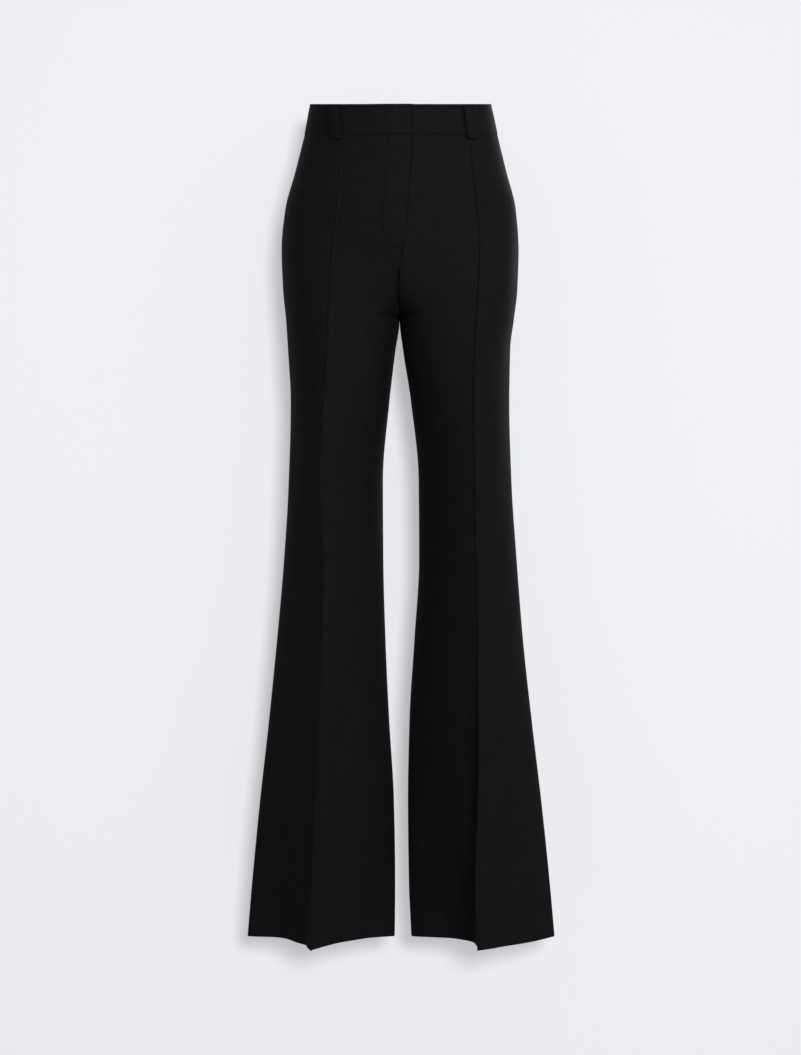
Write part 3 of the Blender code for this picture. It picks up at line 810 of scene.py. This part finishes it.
def mark_line(piece, away):
    """Keep the outer skin's signed distance to a line on the mesh. No attribute reads as 0, so 1 is the line itself."""
    sewn = piece.data.attributes.new(GROOVE_AND_SHADE_LINE, "FLOAT", "POINT")
    sewn.data.foreach_set("value", np.r_[away, 0 * away + 1].astype(np.float32) + 1)


print("the fly's line of stitches ends", FLY_LINE[-1][0], "mm down")


# %% The four panels
HIP_DROP = 200.0


def leg_panel(leg, panel):
    """One panel, its widest row and its length. Its rows bend from the side seam's drops to the other seam's."""
    at_side, at_seam = panel_rows(panel)
    nominal = [columns_over(flank_length(leg, panel, part, HIP_DROP)) for part in ("inner", "outer")]
    across_once = np.concatenate([-nominal[0][::-1], nominal[1][1:]])
    toward = (across_once[-1] - across_once) / (across_once[-1] - across_once[0])
    drop = at_side[:, None] + (at_seam - at_side)[:, None] * toward**2
    split = len(nominal[0])
    outer_way = columns_over(flank_length(leg, panel, "outer", drop[:, split - 1:]))
    inner_way = columns_over(flank_length(leg, panel, "inner", drop[:, :split]))
    k = np.arange(split)
    across = np.concatenate([-inner_way[:, k, k[::-1]], outer_way[:, k, k][:, 1:]], axis=1)
    outer = cloth_points(leg, panel, across, drop)
    inner = cloth_points(leg, panel, across, drop, inside=True)
    piece = shell(f"cloth_{panel}_{leg}", outer, inner, across, drop, (CLOTH, CLOTH_INSIDE))
    mark_line(piece, away_from_stitches(leg, panel, across, drop).ravel() * MM)
    width = max(float(np.ptp(a)) for a in across)
    return piece, width, at_side[-1] - at_side[0]


PANELS = {(leg, panel): leg_panel(leg, panel) for panel in ("front", "back") for leg in ("right", "left")}
for (leg, panel), (piece, width, length) in PANELS.items():
    print(piece.name, len(piece.data.polygons), "faces,", round(width), "x", round(length), "mm")

# %% [markdown]
# ## Waistband
#
# A band of doubled cloth, 40 mm high, sewn on over the panels' tops. Its upper edge is a fold, so it is round, and it
# stands slightly proud at the waist seam, with a faint pressed line a few millimetres below the fold. The right end
# laps over the left in front, where a hidden hook holds it and leaves a small dent. A swept profile would do for a
# belt, but the band follows the waist's own tilted oval.

# %% The band's three stretches
BAND_PROUD, BAND_WALL, BAND_RISE, BAND_UNDERLAP, BAND_ROUND, END_ROUND = 0.6, 1.8, 2.4, 25.0, 1.1, 1.0
BAND_ROWS = (0, 0.12, 0.4, 0.8, 1.3, 2.0, 2.6, 3.1, 3.6, 4.1, 4.7, 5.6, 8, 11, 13.4, 14.7, 16, 17.3, 18.6, 21, 24, 28,
             32, 35, 37, 38.4, 39.2, 39.6, 39.85, 39.98)
TOP_ROLL = {"drop": 3.6, "half": 0.7, "dip": 0.5}
HOOK_MARK = {"x": -21.0, "drop": 16.0, "size": 2.3, "height": -1.0}


def waist_curve(panel, drop, x_from, x_to, columns):
    """The upper body's section between two places across, front or back, evenly spaced."""
    steps = np.linspace(-math.pi / 2, math.pi / 2, 721)
    right, left = size(OUTLINE, "side_right", drop), size(OUTLINE, "side_left", drop)
    x = np.where(steps < 0, right, left) * np.sin(steps)
    y = size(BODY, panel, drop) * superellipse(abs(np.sin(steps)), BODY_ROUNDNESS)
    low, high = max(x_from, -right), min(x_to, left)
    keep = (x > low + 0.01) & (x < high - 0.01)
    ends = np.interp([low, high], x, y)
    curve = np.stack([np.r_[low, x[keep], high], FACING[panel] * np.r_[ends[0], y[keep], ends[1]]], axis=1)
    return spaced(curve, np.linspace(0, 1, columns))[0]


def band_relief(x, drop, ends):
    """Rise of the outer skin: soft waves, the hook's dent, the roll under the top edge, and rounded edges."""
    waves_of_band = 0.20 * np.sin(x / 17 + 1.1) * np.sin(drop / 13) + 0.10 * np.sin(x / 7.3 + drop / 19)
    mark = ((x - HOOK_MARK["x"]) ** 2 + (drop - HOOK_MARK["drop"]) ** 2) / HOOK_MARK["size"] ** 2
    edges = rolled(drop, BAND_ROUND) + 0.75 * rolled(BAND_DROP - drop, BAND_ROUND)
    edges = edges + TOP_ROLL["dip"] * np.exp(-(((drop - TOP_ROLL["drop"]) / TOP_ROLL["half"]) ** 2))
    return waves_of_band * ease(drop, 0, 8) + HOOK_MARK["height"] * np.exp(-mark) - edges - rolled(ends, END_ROUND)


def waistband(name, panel, x_from, x_to, laps, columns):
    """One stretch of the band, its length and its height."""
    outer, inner, across, down = [], [], [], []
    for drop in BAND_ROWS:
        points = waist_curve(panel, drop, x_from, x_to, columns)
        out = outward(points, -FACING[panel], False)
        at_side = abs(points[:, 1]) < 1
        out[at_side] = np.stack([np.sign(points[at_side, 0]), 0 * points[at_side, 0]], axis=1)
        run = run_along(points)
        open_ends = run[-1] - run if laps else np.full(len(run), FAR)
        rise = laps * BAND_RISE * (1 - ease(x_to - points[:, 0], *LAP_FADE))
        relief = band_relief(points[:, 0], drop, open_ends) * np.where(at_side, 0.3, 1.0)
        height = height_of(drop, points[:, 1])[:, None]
        outer.append(np.hstack([points + out * (BAND_PROUD + rise + relief)[:, None], height]))
        thick = BAND_WALL - rolled(drop, BAND_ROUND) - rolled(open_ends, END_ROUND)
        inner.append(np.hstack([points + out * (BAND_PROUD + rise - thick)[:, None], height]))
        across.append(run)
        down.append(0 * run + drop)
    outer, inner = np.array(outer), np.array(inner)
    piece = shell("cloth_" + name, outer, inner, np.array(across), np.array(down), (BAND_CLOTH, CLOTH_INSIDE))
    # The pressed line under the top edge and, on the left front stretch, the edge of the lap above it get painted
    # shade.
    away = abs(np.array(down) - TOP_ROLL["drop"])
    if name == "waistband_front_left":
        away = np.minimum(away, abs(outer[:, :, 0] - LAP_END) * LAP_LINE)
    mark_line(piece, away.ravel() * MM)
    return piece, float(max(a[-1] for a in across)), BAND_DROP


LAP_END, WIDE = FRONT_SEAM[0][1], 1e3
STRETCHES = (
    ("waistband_front_right", "front", -WIDE, LAP_END, True, 150),
    ("waistband_front_left", "front", LAP_END - BAND_UNDERLAP, WIDE, False, 150),
    ("waistband_back", "back", -WIDE, WIDE, False, 220),
)
BANDS = {stretch[0]: waistband(*stretch) for stretch in STRETCHES}
for piece, width, length in BANDS.values():
    print(piece.name, round(width), "x", round(length), "mm")

# %% [markdown]
# ## Belt loops
#
# Five straps of folded cloth, 14 mm wide, caught at the band's top and turned under below the waist seam. Two are in
# front and three behind. In front the wearer's left one leans a little, as sewn ones do. A strap is a narrow grid
# with a pillowed face and thick rolled edges and ends.

# %% Straps
LOOP_WIDTH, LOOP_WALL, LOOP_SEAT, LOOP_STAND, LOOP_ROUND, LOOP_TURN = 14.0, 2.0, 1.2, 3.2, 0.8, 4.0
LOOP_EDGE_LINE = 1.7
LOOPS = (
    ("name", "panel", "x_top", "x_bottom"),
    ("belt_loop_front_right", "front", -84.5, -84.0),
    ("belt_loop_front_left", "front", 87.0, 93.5),
    ("belt_loop_back_right", "back", -78.0, -78.0),
    ("belt_loop_back_left", "back", 78.0, 78.0),
    ("belt_loop_centre_back", "back", 0.0, 0.0),
)
LOOP_HALF = np.array([0.2, 0.42, 0.6, 0.7, 0.757, 0.81, 0.87, 0.93, 0.985, 1.0]) / 2
LOOP_ACROSS = np.concatenate([-LOOP_HALF[::-1], [0], LOOP_HALF])
LOOP_TOP = 0.6
LOOP_DROPS = (LOOP_TOP, 0.8, 1.3, 2.1, 3.2, 5, 8, 12, 16, 20, 24, 28, 32, 36, 39, 41.5, 43.5, 45, 46, 46.6, 46.9,
              LOOP_DROP)


def strap_points(loop, across, drop, off):
    """A point on a strap: across from its middle, down from the waist, and off the strap's inner face."""
    share = (drop - LOOP_TOP) / (LOOP_DROP - LOOP_TOP)
    x = loop["x_top"] + (loop["x_bottom"] - loop["x_top"]) * share + across
    side = np.where(x < 0, size(OUTLINE, "side_right", drop), size(OUTLINE, "side_left", drop))
    facing, depth, aside = FACING[loop["panel"]], size(BODY, loop["panel"], drop), 0.5
    y = facing * depth * superellipse(abs(x) / side, BODY_ROUNDNESS)
    near = facing * depth * superellipse(abs(x + aside) / side, BODY_ROUNDNESS)
    out = unit(np.stack([near - y, 0 * y - aside], axis=-1) * -facing)
    bulge = np.minimum(1.0, 2.2 * np.sin(np.pi * np.clip(share, 0, 1)))
    stand = LOOP_SEAT + (LOOP_STAND - LOOP_SEAT) * bulge
    moved = np.stack([x, y], axis=-1) + out * (stand + off)[..., None]
    return np.concatenate([moved, height_of(drop, y)[..., None]], axis=-1)


def belt_loop(loop):
    across, drop = np.meshgrid(LOOP_ACROSS * LOOP_WIDTH, LOOP_DROPS)
    from_edge = LOOP_WIDTH / 2 - abs(across)
    edges = sum(rolled(from_end, LOOP_ROUND) for from_end in (from_edge, drop - LOOP_TOP, LOOP_DROP - drop))
    pillow = 0.5 * ease(from_edge, 1.6, 5.4) - 0.3 * np.exp(-(((from_edge - LOOP_EDGE_LINE) / 0.5) ** 2))
    pillow = pillow + 0.10 * np.sin(drop / 4.1 + loop["x_top"]) * ease(from_edge, 0.5, 3)
    outer = strap_points(loop, across, drop, LOOP_WALL + pillow - edges)
    inner = strap_points(loop, across, drop, np.minimum(0 * across + edges * 0.5, LOOP_WALL / 2 - 0.05))
    piece = shell("cloth_" + loop["name"], outer, inner, across, drop, (CLOTH, CLOTH_INSIDE))
    return piece, LOOP_WIDTH, LOOP_DROP - LOOP_TOP


LOOP_ROWS = [dict(zip(LOOPS[0], row)) for row in LOOPS[1:]]
STRAPS = {loop["name"]: belt_loop(loop) for loop in LOOP_ROWS}
print("belt loops:", len(STRAPS), "of", round(LOOP_WIDTH), "mm wide")

# %% [markdown]
# ## Stitches
#
# Black thread on black cloth hardly shows, yet without it seams look moulded. Each stitch is a small lozenge of
# thread that dips at both ends, laid along a line of points on the cloth. One mesh holds all the stitches of a piece.

# %% A line of stitches
STITCH_RADIUS = 0.21
RING = np.linspace(0, 2 * math.pi, 7)[:-1]


def stitch_line(points, normals, length, gap, radius=STITCH_RADIUS, raised=0.2):
    """Vertices and faces of stitches along a path; points and normals are in millimetres."""
    run = run_along(points)
    starts = np.arange(gap / 2, run[-1] - length, length + gap)
    fat = np.array([0.25, 0.85, 1.0, 0.85, 0.25]) * radius
    lift = np.array([-0.9, 0.1, raised, 0.1, -0.9]) * radius
    at = starts[:, None] + np.array([0.0, 0.12, 0.5, 0.88, 1.0]) * length
    middle = np.stack([np.interp(at, run, points[:, k]) for k in range(3)], axis=-1)
    up = unit(np.stack([np.interp(at, run, normals[:, k]) for k in range(3)], axis=-1))
    aside = unit(np.cross(middle[:, -1:] - middle[:, :1], up))
    middle = middle + up * lift[:, None]
    round_it = np.cos(RING)[:, None] * up[:, :, None] + np.sin(RING)[:, None] * aside[:, :, None]
    vertices = middle[:, :, None] + round_it * fat[:, None, None]
    count, rings, sides = vertices.shape[:3]
    index = np.arange(count * rings * sides).reshape(count, rings, sides)
    nxt = np.roll(index, -1, axis=2)
    quads = np.stack([index[:, :-1], nxt[:, :-1], nxt[:, 1:], index[:, 1:]], axis=-1).reshape(-1, 4)
    caps = [tuple(ring) for ring in index[:, 0, ::-1]] + [tuple(ring) for ring in index[:, -1]]
    return vertices.reshape(-1, 3), [tuple(q) for q in quads] + caps


def stitched(name, lines):
    """One object from several lines of stitches."""
    vertices, faces, count = [], [], 0
    for points, made in lines:
        vertices.append(points)
        faces += [tuple(int(i) + count for i in face) for face in made]
        count += len(points)
    mesh = bpy.data.meshes.new(name)
    mesh.from_pydata((np.vstack(vertices) * MM).tolist(), [], faces)
    mesh.shade_smooth()
    mesh.materials.append(THREAD)
    return new_thing(name, mesh)


def on_panel(leg, panel, across, drop):
    """Points on a panel's outer skin with the skin's own normals."""
    here = cloth_points(leg, panel, across, drop)
    aside = cloth_points(leg, panel, np.asarray(across) + 0.3, drop) - here
    below = cloth_points(leg, panel, across, np.asarray(drop) + 0.5) - here
    normals = unit(np.cross(aside, below))
    out = form_at(leg, panel, across, drop)[1]
    facing = np.sign((normals[..., :2] * out).sum(-1, keepdims=True))
    return here, normals * facing


print("a stitch is", STITCH_RADIUS * 2, "mm thick")

# %% [markdown]
# ## Where the thread shows
#
# The fly has the usual curved line of topstitching, which holds the zip's guard. The crease is stitched close to its
# edge from the belt loop to the hem. Belt loops have two edge lines and a bar tack at each end, and one bar tack
# closes the foot of the fly.

# %% Lines on the front panels
TACK_DROP = FLY_DROP + 8


def fly_line():
    drop, away = fly_path()
    across = away - flank_length("right", "front", "inner", drop)
    return stitch_line(*on_panel("right", "front", across, drop), 2.3, 0.7)


def crease_line(leg):
    drop = np.arange(LOOP_DROP + 8, HEM_DROP - 3, 1.5)
    return stitch_line(*on_panel(leg, "front", 0 * drop - SIDE_OF[leg] * CREASE_STITCH, drop), 2.1, 0.9)


def bar_tack(points_of, width, rows=9, height=1.8):
    """A short dense bar of zigzag stitches: points_of(across, down) gives points and normals."""
    lines = []
    for k in range(rows * 2):
        across = (k / (rows * 2 - 1) - 0.5) * width
        down = np.linspace(-height / 2, height / 2, 5)
        points, normals = points_of(across + 0 * down + 0.12 * np.sign(down) * (-1) ** k, down)
        lines.append(stitch_line(points, normals, height * 0.9, 0.05, 0.22, 0.9))
    return lines


def fly_tack():
    def place(across, down):
        inner = flank_length("right", "front", "inner", TACK_DROP + down)
        return on_panel("right", "front", 4.0 + across - inner, TACK_DROP + down)
    return bar_tack(place, 7.0)


STITCHES = {
    "front_right": stitched("stitches_front_right", [fly_line(), crease_line("right"), *fly_tack()]),
    "front_left": stitched("stitches_front_left", [crease_line("left")]),
}
print("stitches on the fronts:", {name: len(piece.data.polygons) for name, piece in STITCHES.items()}, "faces")


# %% Lines on the belt loops
def loop_stitches(loop):
    drop = np.arange(2.0, LOOP_DROP - 1.5, 0.5)
    lines = []

    def place(across, down):
        across, down = np.broadcast_arrays(np.asarray(across, float), np.asarray(down, float))
        points = strap_points(loop, across, down, LOOP_WALL + 0 * across)
        lower = strap_points(loop, across, down, 0 * across)
        return points, unit(points - lower)

    for side in (-1, 1):
        lines.append(stitch_line(*place(side * (LOOP_WIDTH / 2 - LOOP_EDGE_LINE) + 0 * drop, drop), 2.0, 0.7))
    for at in (3.4, LOOP_DROP - 2.6):
        lines += bar_tack(lambda across, down: place(across, at + down), LOOP_WIDTH - 2.4, rows=8)
    return stitched("stitches_" + loop["name"], lines)


for loop in LOOP_ROWS:
    STITCHES[loop["name"]] = loop_stitches(loop)
print("pieces with stitches:", len(STITCHES))

# %% [markdown]
# ## Pieces on the root
#
# Each piece hangs from the root, and the imported piece that it stands for is hidden. Stitches go with the sheet that
# they are sewn into.


def declare(piece, node):
    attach(piece, "root")
    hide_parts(node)
    sewn = [STITCHES[node]] if node in STITCHES else []
    for stitches in sewn:
        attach(stitches, "root")


for (leg, panel), (piece, width, length) in PANELS.items():
    declare(piece, f"{panel}_{leg}")
for node, (piece, width, length) in BANDS.items():
    declare(piece, node)
for node, (piece, width, length) in STRAPS.items():
    declare(piece, node)

# %% [markdown]
# ## Studio
#
# The garment hangs in front of a pale board above a pale floor, as in a studio. One small lamp near the camera throws
# the soft shadow on the board and lights nothing else. Larger ones in front, at the right and behind light only the
# garment, so that its tones and the shadow's place are set apart. A pale surround does the rest, stronger from the
# front and the right. The board is only a backdrop: it is seen from its front alone, and neither it nor the floor
# lights the garment.

# %% Camera
def point_at(thing, target):
    toward = [a - b for a, b in zip(target, thing.location)]
    level = math.hypot(toward[0], toward[1])
    thing.rotation_euler = (math.pi / 2 + math.atan2(toward[2], level), 0, math.atan2(-toward[0], toward[1]))


DISTANCE, EYE_HEIGHT, SEEN_HEIGHT, SENSOR = 3.0, -0.5675, 1.4137, 36.0
camera = new_thing("camera", bpy.data.cameras.new("camera"))
camera.location = (0, -DISTANCE, EYE_HEIGHT)
camera.rotation_euler = (math.pi / 2, 0, 0)
camera.data.sensor_width = camera.data.sensor_height = SENSOR
camera.data.lens = SENSOR * DISTANCE / SEEN_HEIGHT
bpy.context.scene.camera = camera
print("lens", round(camera.data.lens, 1), "mm")


# %% Backdrop
PALE = (0.845, 0.855, 0.885, 1)


def plain(name, matt, glow, one_sided=False):
    """A pale finish: one share of it scatters light, and the other is given off evenly."""
    material = bpy.data.materials.new(name)
    material.use_nodes = True
    material.node_tree.nodes.clear()
    pin = Wire(material.node_tree, None)
    dull = pin.node("BsdfDiffuse", {}, {"Color": dimmed(PALE, matt)})
    light = pin.node("Emission", {}, {"Color": PALE, "Strength": glow})
    surface = pin.node("AddShader", {}, {0: dull, 1: light})
    if one_sided:
        behind = pin.node("NewGeometry", {}, {}, output="Backfacing")
        surface = pin.node("MixShader", {}, {0: behind, 1: surface, 2: pin.node("BsdfTransparent")})
    pin.node("OutputMaterial", {}, {0: surface}, output=None)
    return material


def board(name, corners, material):
    mesh = bpy.data.meshes.new(name)
    mesh.from_pydata(corners, [], [(0, 1, 2, 3)])
    mesh.materials.append(material)
    piece = new_thing(name, mesh)
    piece.visible_diffuse = piece.visible_glossy = False
    piece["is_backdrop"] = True
    return piece


FLOOR_Z, FLOOR_REACH, BOARD_Y, BOARD_REACH, BOARD_TOP = -1.42, 9, 0.20, 4, 2.4
SQUARE, UPRIGHT = ((-1, -1), (1, -1), (1, 1), (-1, 1)), ((-1, FLOOR_Z), (1, FLOOR_Z), (1, BOARD_TOP), (-1, BOARD_TOP))
board("floor", [(x * FLOOR_REACH, y * FLOOR_REACH, FLOOR_Z) for x, y in SQUARE], plain("pale_floor", 0.30, 0.87))
wall = board("backdrop", [(x * BOARD_REACH, BOARD_Y, z) for x, z in UPRIGHT], plain("pale_board", 0.20, 0.515, True))
wall.visible_shadow = False
print("floor at", FLOOR_Z, "m and board", BOARD_Y, "m behind the waist's middle")


# %% Lamps, each for the pieces that it lights
SEWN_PIECES = [made[0] for made in (*PANELS.values(), *BANDS.values(), *STRAPS.values())]
LIT = {"garment": SEWN_PIECES + list(STITCHES.values()), "backdrop": [wall]}
LAMPS_AIM = (0, 0, -0.55)
LAMPS = (
    ("name", "lights", "x", "y", "z", "size", "watts"),
    ("shadow_lamp", "backdrop", 0.29, -3.6, -0.21, 0.46, 284),
    ("front_lamp", "garment", 0.8, -3.2, 0.7, 1.6, 112),
    ("right_lamp", "garment", 2.6, -1.2, 0.8, 1.4, 24),
    ("back_lamp", "garment", 0.1, 3.6, 0.5, 0.8, 85),
    ("back_right_lamp", "garment", 1.6, 2.4, 0.6, 1.4, 24),
    ("back_left_lamp", "garment", -1.6, 2.4, 0.6, 1.4, 5),
)
for row in LAMPS[1:]:
    lamp = dict(zip(LAMPS[0], row))
    light = bpy.data.lights.new(lamp["name"], "AREA")
    light.shape, light.size, light.energy = "DISK", lamp["size"], lamp["watts"]
    thing = new_thing(lamp["name"], light)
    thing.location = (lamp["x"], lamp["y"], lamp["z"])
    point_at(thing, LAMPS_AIM)
    lit = bpy.data.collections.new(lamp["name"] + "_lights")
    for piece in LIT[lamp["lights"]]:
        lit.objects.link(piece)
    thing.light_linking.receiver_collection = lit
print("lamps:", len(LAMPS) - 1)

# %% An even surround, a little stronger from some sides
EVERYWHERE = 0.04
SURROUND = {  # side: the axis that points to it, its sign there, and how much stronger the light is from that side
    "right": (0, 1, 0.58),
    "left": (0, -1, 0.38),
    "front": (1, -1, 0.85),
    "back": (1, 1, 0.16),
    "above": (2, 1, 0.15),
}
world = bpy.data.worlds.new("surround")
world.use_nodes = True
surround = world.node_tree.nodes["Background"]
surround.inputs["Color"].default_value = PALE
sky = Wire(world.node_tree, surround.outputs[0])
toward = sky.node("SeparateXYZ", {}, {0: sky.node("TexCoord")})
strength = EVERYWHERE
for axis, sign, share in SURROUND.values():
    strength = strength + toward.beside(axis).between(0.0, float(sign)) * share
seen = sky.node("LightPath", {}, {}, output="Is Camera Ray")
world.node_tree.links.new((strength * (1 - seen) + seen).socket, surround.inputs["Strength"])
bpy.context.scene.world = world
bpy.context.scene.view_settings.view_transform = "Standard"
print("surround:", {side: share for side, (axis, sign, share) in SURROUND.items()})

# %% [markdown]
# ## Close
#
# Both boxes are printed: the imported model's and the visual model's. The visual model has to stay inside the imported
# one's box, give or take a centimetre.

# %% Sizes of both boxes
low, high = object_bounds()
for name, corners in {"model": (*cad_low, *cad_high), "visual": (*low, *high)}.items():
    print("box of the", name, "(mm):", [round(v / MM, 1) for v in corners])
